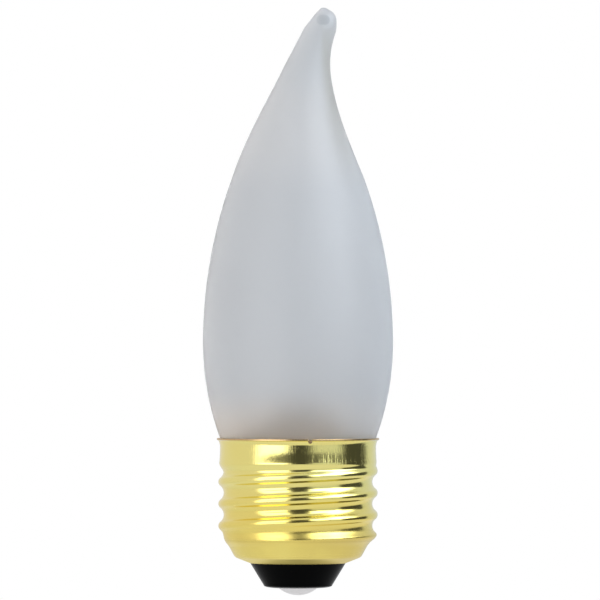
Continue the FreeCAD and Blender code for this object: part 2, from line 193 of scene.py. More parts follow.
class BaseSizes(bpy.types.PropertyGroup):
    """Sizes of the insulator and the solder."""

    button_radius: length("Button radius", 5.36, "Radius of the insulator's end")
    button_bottom: length("Button bottom", 1.2, "Height of the insulator's end")
    button_top_radius: length("Button top radius", 7.84, "Radius where it meets the shell")
    button_drop: length("Button drop", 0.42, "Height of its domed lower edge")
    button_flat: length("Button flat", 3.45, "Radius where that edge ends")
    seat_gap: length("Seat gap", 0.02, "Clearance against the shell")
    collar_radius: length("Collar radius", 6.7, "Radius through the shell's hole")
    flange_radius: length("Flange radius", 8.6, "Radius inside the shell")
    flange_top: length("Flange top", 7.2, "Top of the flange")
    cup_radius: length("Cup radius", 5.2, "Radius of the cup inside")
    cup_floor_radius: length("Cup floor radius", 2.2, "Radius of the cup's floor")
    cup_floor: length("Cup floor", 3.6, "Height of the cup's floor")
    contact_radius: length("Contact radius", 3.0, "Radius of the centre contact")
    contact_thickness: length("Contact thickness", 0.3, "Thickness of the centre contact")
    tube_radius: length("Tube radius", 1.3, "Outer radius of the contact's tube")
    tube_bore: length("Tube bore", 0.7, "Inner radius of the contact's tube")
    solder_radius: length("Solder radius", 3.2, "Radius of the solder dome")
    solder_fill: length("Solder fill", 2.2, "Top of the solder in the tube")
    lead_radius: length("Lead radius", 0.08, "Radius of the lead")
    lead_end: length("Lead end", 0.5, "Height of the lead's end")
    around: IntProperty(name="Around", description="Points round the base", default=192)


class StudioSettings(bpy.types.PropertyGroup):
    """The camera's place and the light of the white studio."""

    camera_distance: length("Camera distance", 1600, "From the lens to the axis of the bulb")
    view_width: length("View width", 99.0, "Width of the picture at the axis")
    view_side: length("View side", 0.33, "Middle of the picture, to the right of the axis")
    view_height: length("View height", 48.7, "Middle of the picture over the contact")
    floor_drop: length("Floor drop", 12.0, "How far the floor is under the contact")
    floor_radius: length("Floor radius", 95.0, "Radius of the floor's disc")
    pale: number("Pale walls", 0.78, "Brightness of the pale walls")
    left_box: number("Left softbox", 2.4, "Brightness of the left softbox")
    right_box: number("Right softbox", 3.6, "Brightness of the right softbox")
    strip: number("Strip light", 3.4, "Brightness of the high strip at the right")
    back: number("Back", 0.68, "Brightness of the white behind the glass")
    wings: number("Wings", 1.29, "Brightness of that white at both sides")
    slit: number("Slit", 0.92, "Darkness of the slit across both softboxes")
    dark: number("Dark gaps", 0.07, "Brightness of the dark gaps")
    floor_glow: number("Floor glow", 0.78, "Share of the floor's middle that glows")
    warm_light: colour("Warm light", (1.01, 0.985, 0.98), "Light from the left")
    cool_light: colour("Cool light", (0.885, 0.945, 1.03), "Light from the right")


class FinishColours(bpy.types.PropertyGroup):
    """Colours of the finishes."""

    frost: colour("Frost", (0.83, 0.845, 0.855), "Frosted glass")
    # Painted glow: the brass's yellow light on the glass low over the cap
    frost_brass_glow: colour("Warm frost", (1.0, 0.92, 0.83), "Frosted glass over the brass")
    frost_cloud: colour("Frost cloud", (0.88, 0.88, 0.88), "Its cloudier patches")
    # Painted highlight on the glass low on the tail
    frost_tail_highlight: colour("Thin frost", (0.96, 0.95, 0.94), "Thinner glass low on the tail")
    # Painted shade on the inner side of the tail's bend
    frost_bend_shade: colour("Thick frost", (0.71, 0.70, 0.65), "Thicker glass inside the bend")
    # Painted highlight: a paler rim at the lower right of the seal
    seal_glint: colour("Seal rim", (0.93, 0.96, 0.97), "Paler rim round the seal")
    seal: colour("Seal", (0.67, 0.70, 0.72), "Clearer glass where the tip was sealed")
    # Painted glow: the stem is real glass, tinted with the brass's yellow light
    stem: colour("Stem", (1.0, 0.92, 0.82), "Warm glass of the stem over the cap")
    brass: colour("Brass", (0.90, 0.82, 0.30), "Polished brass")
    # Deeper gold; over the lower threads it is painted bounce light
    brass_deep: colour("Deep brass", (0.90, 0.70, 0.15), "Brass towards the contact")
    # Darker, redder brass on the lip
    brass_reddened: colour("Heated brass", (0.52, 0.33, 0.20), "Brass on the heated lip")
    # Dulled patches on the cone, plus painted shade on its right side and at the foot of the
    # thread
    tarnish_and_shade: colour("Tarnish", (0.62, 0.46, 0.13), "Dulled brass on and over the cone")
    joint: colour("Joint", (0.20, 0.13, 0.06), "Burnt joint of the side lead")
    joint_pale: colour("Pale joint", (0.26, 0.19, 0.10), "Its paler grains")
    insulator: colour("Insulator", (0.0006, 0.0007, 0.0007), "Black vitrified glass")
    solder: colour("Solder", (0.72, 0.70, 0.70), "Tin solder")
    solder_pale: colour("Pale solder", (0.86, 0.84, 0.84), "Its flow marks")
    cement: colour("Cement", (0.52, 0.46, 0.34), "Baked cement")
    cement_dark: colour("Dark cement", (0.30, 0.27, 0.21), "Its dark grains")
    wire: colour("Wire", (0.55, 0.53, 0.50), "Nickel-plated wire")
    wire_dark: colour("Dark wire", (0.36, 0.34, 0.31), "Its drawn grain")


# Meshes


def closed_skin(grid, joined, shift):
    """Return the points and faces of one closed skin from a grid of points.

    The grid's rings lie along its first axis and each is closed round the second. They close on
    each other where joined is true. Otherwise the first and the last ring are each closed by a
    fan to a pole at their middle. The shift is the number of points that come before.
    """
    rings, around, _ = grid.shape
    vertices = grid.reshape(-1, 3)
    ring = np.arange(rings if joined else rings - 1)[:, None] * around
    step = np.arange(around)[None, :]
    following = (step + 1) % around
    above = (ring + around) % (rings * around)
    quads = np.stack([ring + step, ring + following, above + following, above + step], axis=-1)
    faces = (quads.reshape(-1, 4) + shift).tolist()
    if not joined:
        vertices = np.concatenate([vertices, [grid[0].mean(axis=0), grid[-1].mean(axis=0)]])
        first, last = rings * around, rings * around + 1
        start, end, top = step[0], following[0], (rings - 1) * around
        lower = np.stack([end, start, np.full(around, first)], axis=-1)
        upper = np.stack([top + start, top + end, np.full(around, last)], axis=-1)
        faces += (np.concatenate([lower, upper]) + shift).tolist()
    return vertices, faces


def dress(piece, finish):
    """Give a piece its one material."""
    piece.data.materials.clear()
    piece.data.materials.append(finish)


def add_piece(name, skins, replaced, finish):
    """Make a piece from its closed skins, which rides the body and stands for its CAD node.

    Each skin is a grid and whether its rings are joined. A hollow's skin runs the other way
    round, so that its faces look into the hollow. The finish goes in its one slot.
    """
    vertices, faces = np.empty((0, 3)), []
    for grid, joined in skins:
        points, sides = closed_skin(grid, joined, len(vertices))
        vertices = np.concatenate([vertices, points])
        faces += sides
    mesh = bpy.data.meshes.new(name)
    mesh.from_pydata(vertices.tolist(), [], faces)
    mesh.polygons.foreach_set("use_smooth", np.ones(len(mesh.polygons), dtype=bool))
    mesh.set_sharp_from_angle(angle=SHARP_ANGLE)
    piece = bpy.data.objects.new(name, mesh)
    bpy.context.scene.collection.objects.link(piece)
    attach(piece, BODY)
    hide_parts(replaced)
    dress(piece, finish)


def full_turn(count):
    """Return even angles round a whole turn."""
    return np.arange(count) * WHOLE_TURN / count


def run(start, end, count):
    """Return points on a straight line in section, without its end."""
    share = np.arange(count)[:, None] / count
    return np.asarray(start) * (1 - share) + np.asarray(end) * share


def bow(start, end, radius, side, count):
    """Return points on a short arc in section, without its end.

    The arc has the given radius, passes from start to end, and bulges to the left of that way
    where side is +1 and to its right where side is -1.
    """
    start, end = np.asarray(start), np.asarray(end)
    chord = end - start
    half = np.linalg.norm(chord) / 2
    left = np.array([-chord[1], chord[0]]) / (2 * half)
    centre = (start + end) / 2 - left * side * math.sqrt(max(radius ** 2 - half ** 2, 0))
    sweep = 2 * math.asin(min(half / radius, 1)) * -side
    turn = sweep * np.arange(count)[:, None] / count
    arm = start - centre
    across = np.array([-arm[1], arm[0]])
    return centre + arm * np.cos(turn) + across * np.sin(turn)


def all_round(outline, turn):
    """Return the same outline of radius and height at every angle."""
    return np.repeat(outline[:, None, :], len(turn), axis=1)


def revolve(section, turn):
    """Stand each angle's outline about the axis and return the rings of points."""
    radius, height = section[..., 0], section[..., 1]
    return np.stack([radius * np.cos(turn), radius * np.sin(turn), height], axis=-1)


def lathe(outline, around):
    """Turn an outline of radius and height into even rings of points about the axis."""
    turn = full_turn(around)
    return revolve(all_round(outline, turn), turn)


def smooth_step(low, high, value):
    """Return 0 below low and 1 above high, with the cubic 3t^2 - 2t^3 between them."""
    share = np.clip((value - low) / (high - low), 0, 1)
    return share * share * (3 - 2 * share)


# Glass


def side_outline(sizes, inset, start_height):
    """Return the glass's side in section, from a height on its lower bow to the bend.

    It is two arcs that share a tangent at the belly: r = c + R cos t and z = b + R sin t, with
    the centre c at the belly's radius less the bow's. An inset moves it inward, square to itself.
    """
    low = -math.asin((sizes.belly_height - start_height) / sizes.lower_bow)
    high = math.asin((sizes.bend_height - sizes.belly_height) / sizes.upper_bow)
    arcs = []
    for radius, turn in (
        (sizes.lower_bow, np.linspace(low, 0, LOWER_RINGS)[:-1]),
        (sizes.upper_bow, np.linspace(0, high, UPPER_RINGS)[:-1]),
    ):
        centre = sizes.belly_radius - radius
        reach = radius - inset
        arcs.append(np.stack([
            centre + reach * np.cos(turn), sizes.belly_height + reach * np.sin(turn),
        ], axis=-1))
    return np.concatenate(arcs)


def tail_grid(sizes, inset):
    """Work out the bent tail with its dome.

    A circle is carried along a middle line of two arcs. Its radius is the cubic that has the
    shoulder's radius and taper at one end and the tip's at the other, less the inset. The dome
    is half a sphere at the end of that line.
    """
    rise = sizes.bend_height - sizes.belly_height
    reach = math.sqrt(sizes.upper_bow ** 2 - rise ** 2)
    shoulder = sizes.belly_radius - sizes.upper_bow + reach
    share = np.linspace(0, 1, TAIL_RINGS)[:, None]
    along = share * sizes.tail_length
    first_run = sizes.first_bend * sizes.first_lean
    first = np.minimum(along, first_run) / sizes.first_bend
    lean = first + np.maximum(along - first_run, 0) / sizes.second_bend
    across = (
        sizes.first_bend * (1 - np.cos(first))
        + sizes.second_bend * (np.cos(first) - np.cos(lean))
    )
    up = (
        sizes.bend_height + sizes.first_bend * np.sin(first)
        + sizes.second_bend * (np.sin(lean) - np.sin(first))
    )
    radius = (
        (1 - share) ** 2 * (1 + 2 * share) * shoulder
        + share ** 2 * (3 - 2 * share) * sizes.tip_radius
        - share * (1 - share) ** 2 * sizes.tail_length * rise / reach
        + share ** 2 * (1 - share) * sizes.tail_length * sizes.tip_taper
        - inset
    )
    polar = np.linspace(0, math.pi / 2, DOME_RINGS + 2)[1:-1, None]
    height = radius[-1] * np.sin(polar)
    across = np.concatenate([across, across[-1] + height * np.sin(lean[-1])])
    up = np.concatenate([up, up[-1] + height * np.cos(lean[-1])])
    radius = np.concatenate([radius, radius[-1] * np.cos(polar)])
    lean = np.concatenate([lean, np.repeat(lean[-1:], len(polar), axis=0)])
    turn = full_turn(sizes.around)
    return np.stack([
        across + radius * np.cos(lean) * np.cos(turn),
        np.broadcast_to(radius * np.sin(turn), (len(lean), sizes.around)),
        up - radius * np.sin(lean) * np.cos(turn),
    ], axis=-1)


def dome_centre(sizes):
    """Return the middle of the tip's dome."""
    return tail_grid(sizes, 0.0)[TAIL_RINGS - 1].mean(axis=0)


def tip_sides(sizes):
    """Return the tip's flatter sides in order: the way each faces, its depth, how flat it is."""
    return (
        (SHEARED, sizes.tip_shear, 0.85),
        (UPRIGHT, sizes.tip_side, 0.85),
        (UPPER, sizes.tip_top, 0.8),
        (BETWEEN, sizes.tip_corner, 0.85),
    )


def press(sizes, tail, flats):
    """Press flats into the tip and return the tail.

    Each point past a flat's plane moves back towards it, by the share that the flat gives. The
    planes reach the dome and the last rings before it.
    """
    centre = dome_centre(sizes)
    tip = tail[TAIL_RINGS - TIP_RINGS:]
    for way, depth, share in flats:
        past = np.maximum((tip - centre) @ way - depth, 0)
        tip -= share * past[..., None] * way
    return tail


def glass_grid(sizes):
    """Work out the envelope's outside: stub, recess, sealed neck, both bows, tail and tip."""
    drop = sizes.belly_height - sizes.root_height
    root_reach = math.sqrt(sizes.lower_bow ** 2 - drop ** 2)
    root_radius = sizes.belly_radius - sizes.lower_bow + root_reach
    neck_top = sizes.root_height - (root_radius - sizes.neck_radius) * root_reach / drop
    bevel = sizes.seal_bevel
    corners = [
        (NEAR_AXIS, sizes.stub_bottom),
        (sizes.stub_radius / 2, sizes.stub_bottom),
        (sizes.stub_radius, sizes.stub_bottom + sizes.stub_radius / 2),
        (sizes.stub_radius, sizes.recess_roof),
        (sizes.recess_radius, sizes.recess_roof),
        (sizes.neck_radius - 2 * bevel, sizes.neck_bottom),
        (sizes.neck_radius - bevel, sizes.neck_bottom),
        (sizes.neck_radius, sizes.neck_bottom + bevel),
        (sizes.neck_radius, neck_top),
        (root_radius, sizes.root_height),
    ]
    lines = [run(start, end, 4) for start, end in zip(corners, corners[1:])]
    side = side_outline(sizes, 0.0, sizes.root_height)
    body = lathe(np.concatenate(lines + [side]), sizes.around)
    flats = (*tip_sides(sizes), (FACING, sizes.tip_facet, 1.0))
    return np.concatenate([body, press(sizes, tail_grid(sizes, 0.0), flats)])


def hollow_grid(sizes):
    """Work out the envelope's hollow, one wall inside it, over the glass stem that seals it.

    The stem is a dome: its height over the floor is (1 - r^2)^p of the whole, with r the share of
    its reach and p its power. The hollow has the tip's flatter sides, but not its sealed flat. The
    rings run the other way round, so that the faces look into the hollow.
    """
    side = side_outline(sizes, sizes.wall, sizes.root_height)
    radius = np.linspace(NEAR_AXIS, side[0][0] - sizes.wall / 2, STEM_RINGS)
    dome = np.maximum(1 - (radius / sizes.stem_reach) ** 2, 0) ** sizes.stem_power
    stem = np.stack([radius, sizes.cavity_floor + sizes.stem_height * dome], axis=-1)
    body = lathe(np.concatenate([stem, side]), sizes.around)
    flats = [(way, depth - sizes.wall, 1.0) for way, depth, _ in tip_sides(sizes)]
    tail = press(sizes, tail_grid(sizes, sizes.wall), flats)
    return np.concatenate([body, tail])[:, ::-1]


# Screw shell


def thread_wave(sizes, distance):
    """Return the thread's radius at a distance along the axis from a crest.

    In section the thread is two arcs that meet with one tangent: a tight one over the crest and
    a wider one in the root. Their radii add up to half the pitch over the sine of the flank's
    angle.
    """
    half = sizes.pitch / 2
    flank = 2 * math.atan2(sizes.crest_radius - sizes.root_radius, half)
    root_round = half / math.sin(flank) - sizes.crest_round
    away = np.abs((distance + half) % sizes.pitch - half)
    crest = sizes.crest_radius - sizes.crest_round
    over_crest = np.sqrt(np.maximum(sizes.crest_round ** 2 - away ** 2, 0)) + crest
    in_root = sizes.root_radius + root_round - np.sqrt(
        np.maximum(root_round ** 2 - (half - away) ** 2, 0)
    )
    return np.where(away < sizes.crest_round * math.sin(flank), over_crest, in_root)


def skirt_outline(sizes, height):
    """Return the skirt's radius below its waist: a parabola that is upright at the waist."""
    below = (sizes.waist_height - height) / (sizes.waist_height - sizes.runout_end)
    return sizes.waist_radius + (sizes.skirt_radius - sizes.waist_radius) * below ** 2


def over_base(shell, radius, lift):
    """Return the point at a radius that lies a lift over the shell's flat bottom."""
    return radius, shell.hole_height + shell.base_slope * (radius - shell.hole_radius) + lift


def shell_radius(sizes, height, turn):
    """Return the shell's outer radius from its cone up to its skirt.

    The thread climbs one pitch a turn. It swells out of the cone between the run-in heights, and
    its groove fades into the plain skirt between the run-out heights.
    """
    foot_radius, foot_height = over_base(sizes, sizes.foot_radius, 0.0)
    cone = foot_radius + sizes.cone_slope * (height - foot_height)
    cone = np.minimum(cone, sizes.crest_radius)
    climb = sizes.crest_height + sizes.pitch * turn / WHOLE_TURN
    wave = thread_wave(sizes, height - climb)
    groove = 1 - smooth_step(sizes.runout_start, sizes.runout_end, height)
    skirt = skirt_outline(sizes, height)
    thread = skirt + groove * (wave - skirt)
    return cone + smooth_step(sizes.runin_start, sizes.runin_end, height) * (thread - cone)


def shell_skin(sizes, turn, depth, rings):
    """Return one face of the sheet as rings from the hole to the waist of the skirt.

    The face lies at a depth under the outer one. Up to the heel that depth is measured square to
    the sheet, and above it level, since the sheet thins on the flanks.
    """
    base = np.array([1, sizes.base_slope]) / math.hypot(1, sizes.base_slope)
    cone = np.array([sizes.cone_slope, 1]) / math.hypot(1, sizes.cone_slope)
    inward = np.array([-base[1], base[0]])
    corner_turn = math.acos(float(base @ cone))
    centre = np.array(over_base(sizes, sizes.foot_radius, 0.0)) + sizes.heel_round * (
        inward - base * math.tan(corner_turn / 2)
    )
    share = np.linspace(0, 1, HEEL_RINGS)[:, None]
    swing = math.atan2(-base[0], base[1]) + corner_turn * share
    square = np.concatenate([np.cos(swing), np.sin(swing)], axis=-1)
    level = np.array([1.0, 0.0])
    heel = centre + sizes.heel_round * square - depth * (square * (1 - share) + level * share)
    hole = np.array([sizes.hole_radius, sizes.hole_height]) + inward * depth
    fixed = np.concatenate([run(hole, heel[0], 6), heel])

    height = np.linspace(heel[-1][1], sizes.runout_end, rings)[1:, None]
    radius = shell_radius(sizes, height, turn) - depth
    thread = np.stack([radius, np.broadcast_to(height, radius.shape)], axis=-1)

    rise = np.linspace(sizes.runout_end, sizes.waist_height, SKIRT_RINGS + 1)[1:]
    skirt = np.stack([skirt_outline(sizes, rise) - depth, rise], axis=-1)
    return np.concatenate([all_round(fixed, turn), thread, all_round(skirt, turn)])


def shell_grid(sizes):
    """Work out the shell as its closed section carried round the axis.

    The section runs up the outer face, over the lip and down the inner face. The notch for the
    side lead pulls the section's points down towards its floor, in a narrow triangular window
    that has angles of its own.
    """
    half_notch = sizes.notch_width / sizes.lip_radius
    near = sizes.notch_angle % WHOLE_TURN + np.linspace(-1, 1, NOTCH_POINTS) * half_notch
    turn = np.unique(np.concatenate([full_turn(sizes.around), near]).round(TURN_DECIMALS))
    outer = shell_skin(sizes, turn, 0.0, OUTER_RINGS)
    inner = shell_skin(sizes, turn, sizes.wall, INNER_RINGS)[::-1]
    wall = np.array([sizes.wall, 0])
    waist = np.array([sizes.waist_radius, sizes.waist_height])
    flare = np.array([sizes.flare_radius, sizes.flare_height])
    edge, soft = sizes.lip_radius, sizes.wall / 5
    low, high = sizes.lip_under, sizes.rim_height
    inner_edge = (edge - sizes.lip_width, high)
    lip = np.concatenate([
        bow(waist, flare, sizes.flare_bow, 1, 12)[1:],
        run(flare, (edge - soft, low - soft / 3), 4),
        bow((edge - soft, low), (edge, low + soft), soft, -1, 3),
        run((edge, low + soft), (edge, high - soft), 3),
        bow((edge, high - soft), (edge - soft, high), soft, -1, 3),
        run((edge - soft, high), inner_edge, 3),
        run(inner_edge, flare - wall, 3),
        bow(flare - wall, waist - wall, sizes.flare_bow, -1, 8),
    ])
    section = np.concatenate([outer, all_round(lip, turn), inner])
    away = np.abs((turn - sizes.notch_angle + math.pi) % WHOLE_TURN - math.pi)
    window = np.clip(1 - away / half_notch, 0, 1)
    over = np.maximum(section[..., 1] - sizes.notch_floor, 0)
    section[..., 1] -= over * window * sizes.notch_pull
    return revolve(section, turn)


# Insulator and solder


def insulator_grid(sizes, shell):
    """Work out the insulator as a closed outline turned about the axis.

    Outside it is a tapered button whose lower edge is a quarter of an ellipse; a collar passes
    the shell's hole, and inside a flange carries a cup round the contact's tube.
    """
    spread = sizes.button_top_radius - sizes.button_radius
    slope = spread / (shell.hole_height - sizes.button_bottom)
    inner = shell.wall * math.hypot(1, shell.base_slope) + sizes.seat_gap
    contact_top = sizes.button_bottom + sizes.contact_thickness
    low_edge = (sizes.button_flat, sizes.button_bottom)
    side_edge = (
        sizes.button_radius + slope * sizes.button_drop,
        sizes.button_bottom + sizes.button_drop,
    )
    corners = [
        side_edge,
        over_base(shell, sizes.button_top_radius, -sizes.seat_gap),
        over_base(shell, sizes.collar_radius, -sizes.seat_gap),
        over_base(shell, sizes.collar_radius, inner),
        over_base(shell, sizes.flange_radius, inner),
        (sizes.flange_radius, sizes.flange_top),
        (sizes.cup_radius, sizes.flange_top),
        (sizes.cup_floor_radius, sizes.cup_floor),
        (sizes.tube_radius, sizes.cup_floor),
        (sizes.tube_radius, contact_top),
        (sizes.contact_radius, contact_top),
        (sizes.contact_radius, sizes.button_bottom),
        low_edge,
    ]
    quarter = np.linspace(0, math.pi / 2, BUTTON_RINGS + 1)[:-1]
    parts = [np.stack([
        low_edge[0] + (side_edge[0] - low_edge[0]) * np.sin(quarter),
        side_edge[1] - (side_edge[1] - low_edge[1]) * np.cos(quarter),
    ], axis=-1)]
    parts += [run(start, end, 5) for start, end in zip(corners, corners[1:])]
    return lathe(np.concatenate(parts), sizes.around)


def solder_grid(sizes):
    """Work out the solder: a dome that is part of a sphere, and its plug round the lead."""
    sphere = (sizes.solder_radius ** 2 + sizes.button_bottom ** 2) / (2 * sizes.button_bottom)
    corners = [
        (sizes.solder_radius, sizes.button_bottom),
        (sizes.tube_bore, sizes.button_bottom),
        (sizes.tube_bore, sizes.solder_fill),
        (sizes.lead_radius, sizes.solder_fill),
        (sizes.lead_radius, sizes.lead_end),
        (NEAR_AXIS, sizes.lead_end),
    ]
    parts = [bow((NEAR_AXIS, 0.0), corners[0], sphere, -1, SOLDER_RINGS)]
    parts += [run(start, end, 3) for start, end in zip(corners, corners[1:])]
    parts.append(np.array([corners[-1]]))
    return lathe(np.concatenate(parts), sizes.around)


# Finishes, whose heights and distances are in millimetres


class Value:
    """A number worked out by a shader, which Python's own operators add nodes to."""

    def __init__(self, tree, socket):
        self.tree = tree
        self.socket = socket

    def math(self, operation, *others):
        """Add a Math node with this number first."""
        inputs = dict(enumerate((self, *others)))
        return self.tree.add("ShaderNodeMath", {"operation": operation}, inputs)

    def reflected(self, operation, other):
        """Add a Math node with this number second."""
        return self.tree.add("ShaderNodeMath", {"operation": operation}, {0: other, 1: self})

    def __add__(self, other):
        return self.math("ADD", other)

    def __radd__(self, other):
        return self.reflected("ADD", other)

    def __sub__(self, other):
        return self.math("SUBTRACT", other)

    def __rsub__(self, other):
        return self.reflected("SUBTRACT", other)

    def __mul__(self, other):
        return self.math("MULTIPLY", other)

    def __rmul__(self, other):
        return self.reflected("MULTIPLY", other)

    def __truediv__(self, other):
        return self.math("DIVIDE", other)

    def __abs__(self):
        return self.math("ABSOLUTE")


class Tree:
    """The nodes of one material or of the world."""

    def __init__(self, owner):
        owner.use_nodes = True
        self.nodes = owner.node_tree.nodes
        self.links = owner.node_tree.links
        self.nodes.clear()
        self.shader = None

    def add(self, kind, settings=None, inputs=None, output=0):
        """Add a node of that kind, set it up, feed its sockets, and return one of its outputs."""
        node = self.nodes.new(kind)
        for name, setting in (settings or {}).items():
            setattr(node, name, setting)
        for name, value in (inputs or {}).items():
            if isinstance(value, Value):
                self.links.new(value.socket, node.inputs[name])
            else:
                node.inputs[name].default_value = value
        return Value(self, node.outputs[output]) if len(node.outputs) else None

    def feed(self, socket, value):
        """Link a worked-out value to a socket of the finish's shader."""
        self.links.new(value.socket, self.shader.inputs[socket])

    def place(self):
        """Return the place on the piece as a vector, in metres."""
        return self.add("ShaderNodeTexCoord", output="Object")

    def parts(self, vector):
        """Return the three numbers of a vector."""
        outputs = self.add("ShaderNodeSeparateXYZ", {}, {0: vector}).socket.node.outputs
        return [Value(self, outputs[axis]) for axis in range(3)]

    def away(self, place, centre):
        """Return the distance of a place from a fixed point, in millimetres."""
        inputs = {0: place, 1: tuple(centre)}
        metres = self.add("ShaderNodeVectorMath", {"operation": "DISTANCE"}, inputs, "Value")
        return metres / MM

    def mix(self, share, first, second):
        """Blend two colours by a share. Each is worked out, or has three numbers."""
        sides = [side if isinstance(side, Value) else (*side, 1.0) for side in (first, second)]
        inputs = dict(zip(MIX_INPUTS, (share, *sides)))
        return self.add("ShaderNodeMix", {"data_type": "RGBA"}, inputs, MIX_OUTPUT)

    def noise(self, vector, scale, detail=2.0, roughness=0.5):
        """Return fractal noise of a scale per metre at a place."""
        return self.add("ShaderNodeTexNoise", {}, {
            "Vector": vector, "Scale": scale, "Detail": detail, "Roughness": roughness,
        })

    def ramp(self, value, low, high):
        """Return 0 at low and 1 at high, with a smooth step between them."""
        return self.add("ShaderNodeMapRange", {"interpolation_type": "SMOOTHSTEP"}, {
            "Value": value, "From Min": low, "From Max": high,
        })

    def window(self, value, low, high, soft):
        """Return 1 between low and high and 0 outside, with soft edges."""
        rise = self.ramp(value, low - soft, low + soft)
        return rise * (1 - self.ramp(value, high - soft, high + soft))

    def bump(self, height, depth, strength):
        """Return a normal bent by a height field of a depth in millimetres."""
        return self.add("ShaderNodeBump", {}, {
            "Height": height, "Distance": depth * MM, "Strength": strength,
        })


def new_finish(name, inputs):
    """Return a material with a Principled shader whose sockets have those values, and its tree."""
    material = bpy.data.materials.new(name)
    tree = Tree(material)
    surface = tree.add("ShaderNodeBsdfPrincipled", {}, inputs)
    tree.shader = surface.socket.node
    tree.add("ShaderNodeOutputMaterial", {}, {"Surface": surface})
    return material, tree


def frosted_finish(colours, sizes):
    """Etched glass that scatters the light it lets pass, with a clearer seal on the tip.

    The stem in the hollow, the only surface near the axis over the cap, is glass painted with
    a yellow glow of the brass. The drawn tail has painted shade on the inner side of its bend,
    where its middle is taken to be the parabola h^2 / 2R.
    """
    material, tree = new_finish("frosted_glass", {
        "Transmission Weight": 0.9, "IOR": 1.45, "Coat Roughness": 0.46,
    })
    place = tree.place()
    across, along, up = (part / MM for part in tree.parts(place))
    grain = tree.noise(place, 2600.0, 3.0, 0.6)
    cloud = tree.noise(place, 90.0)
    radius = (across * across + along * along).math("SQRT")
    stem_foot = sizes.cavity_floor / MM - 0.5
    stem = (1 - tree.ramp(radius, 9.5, 10.5)) * tree.window(up, stem_foot, 34.5, 0.4)
    # Painted glow of the brass on the glass low over the cap, stronger at the left
    brass_glow = (1 - tree.ramp(up, 25.5, 35.0)) * (0.8 - tree.ramp(across, 3.0, 11.0) * 0.5)
    # Painted highlight on the glass low on the tail
    tail_highlight = tree.window(up, 70.0, 84.0, 4.0)
    rise = up - sizes.bend_height / MM
    middle = rise * rise * (0.5 * MM / sizes.first_bend)
    tail_radius = 9.9 - rise * 0.36
    inner_side = tree.ramp((across - middle) / tail_radius, 0.52, 0.96)
    # Painted shade on the inner side of the tail's bend
    bend_shade = inner_side * tree.ramp(up, 65.5, 83.5) * (1 - tree.ramp(up, 87.0, 96.0))
    on_flat = dome_centre(sizes) + FACING * sizes.tip_facet
    beside = tree.away(place, on_flat - np.array([0.55, 0.0, 0.0]) * MM)
    from_seal = tree.away(place, on_flat).math("MINIMUM", beside)
    seal = 1 - tree.ramp(from_seal, 0.70, 1.00)
    # Painted highlight: a paler rim at the lower right of the seal
    below = tree.away(place, on_flat + np.array([0.35, 0.0, -0.35]) * MM)
    rim = 1 - tree.ramp(below, 0.85, 1.40)
    tint = tree.mix(cloud * 0.1, colours.frost, colours.frost_cloud)
    tint = tree.mix(brass_glow, tint, colours.frost_brass_glow)
    tint = tree.mix(tail_highlight * 0.35, tint, colours.frost_tail_highlight)
    tint = tree.mix(bend_shade * 0.8, tint, colours.frost_bend_shade)
    tint = tree.mix(rim * 0.7, tint, colours.seal_glint)
    tint = tree.mix(seal * 0.85, tint, colours.seal)
    # The real glass stem gets a painted yellow glow of the brass
    tint = tree.mix(stem, tint, colours.stem)
    tree.feed("Base Color", tint)
    tree.feed("Roughness", grain * 0.10 + 0.48 - seal * 0.2)
    tree.feed("Coat Weight", cloud * 0.1 + 0.22)
    tree.feed("Normal", tree.bump(grain, 0.02, 0.3))
    return material


def brass_finish(colours, sizes):
    """Bright rolled brass: deeper gold low down, drawing lines up the skirt and a reddened lip."""
    material, tree = new_finish("polished_brass", {"Metallic": 1.0})
    place = tree.place()
    across, along, up = (part / MM for part in tree.parts(place))
    turn = along.math("ARCTAN2", across)
    spread = tree.add("ShaderNodeCombineXYZ", {}, {0: turn * 0.9, 1: up * 0.004, 2: 0.0})
    lines = tree.noise(spread, 60.0, 4.0, 0.7)
    waves = tree.noise(place, 160.0, 1.0)
    patches = tree.ramp(tree.noise(place, 210.0, 1.0), 0.35, 0.65)
    skirt_foot = sizes.runout_end / MM - 0.5
    flare = sizes.flare_height / MM
    bottom = 1 - tree.ramp(up, 5.5, 6.8)
    # Painted shade: a dark line where the thread swells out of the cone
    crease_shade = tree.window(up, 8.9, 9.2, 0.2)
    cone = 1 - tree.ramp(up, 9.5, 12.5)
    # Painted bounce light: deeper gold over the lower threads
    groove_bounce = tree.window(up, 9.0, 16.5, 2.5)
    low = 1 - tree.ramp(up, 6.0, 21.0)
    threads = tree.window(up, 10.0, skirt_foot, 1.0)
    skirt = tree.window(up, skirt_foot, flare + 0.1, 0.2)
    # Darker, redder and rougher brass on the lip
    reddened = tree.ramp(up, flare, flare + 0.25)
    scored = tree.ramp(lines, 0.48, 0.64) * skirt * tree.ramp(across, 1.0, 3.0)
    # Real dulled patches, and painted shade darkening the cone towards the right
    tarnish_and_shade = cone * (patches * 0.35 + tree.ramp(across, -4.0, 9.0))
    deep = low * 0.45 + groove_bounce * 0.2 + waves * 0.3
    tint = tree.mix(deep, colours.brass, colours.brass_deep)
    # Dulled patches, with painted shade on the cone's right side and at the foot of the thread
    tint = tree.mix(tarnish_and_shade * 0.35 + crease_shade * 0.3, tint, colours.tarnish_and_shade)
    tint = tree.mix(reddened * 0.8, tint, colours.brass_reddened)
    tree.feed("Base Color", tint)
    rough = lines * 0.05 + reddened * 0.2 + cone * 0.2 + bottom * 0.15 + scored * 0.2
    tree.feed("Roughness", rough + threads * 0.09 + 0.04)
    height = lines * (skirt * 1.8 + 0.4) + waves * (1 - skirt * 0.6)
    tree.feed("Normal", tree.bump(height, 0.02, 0.5))
    return material


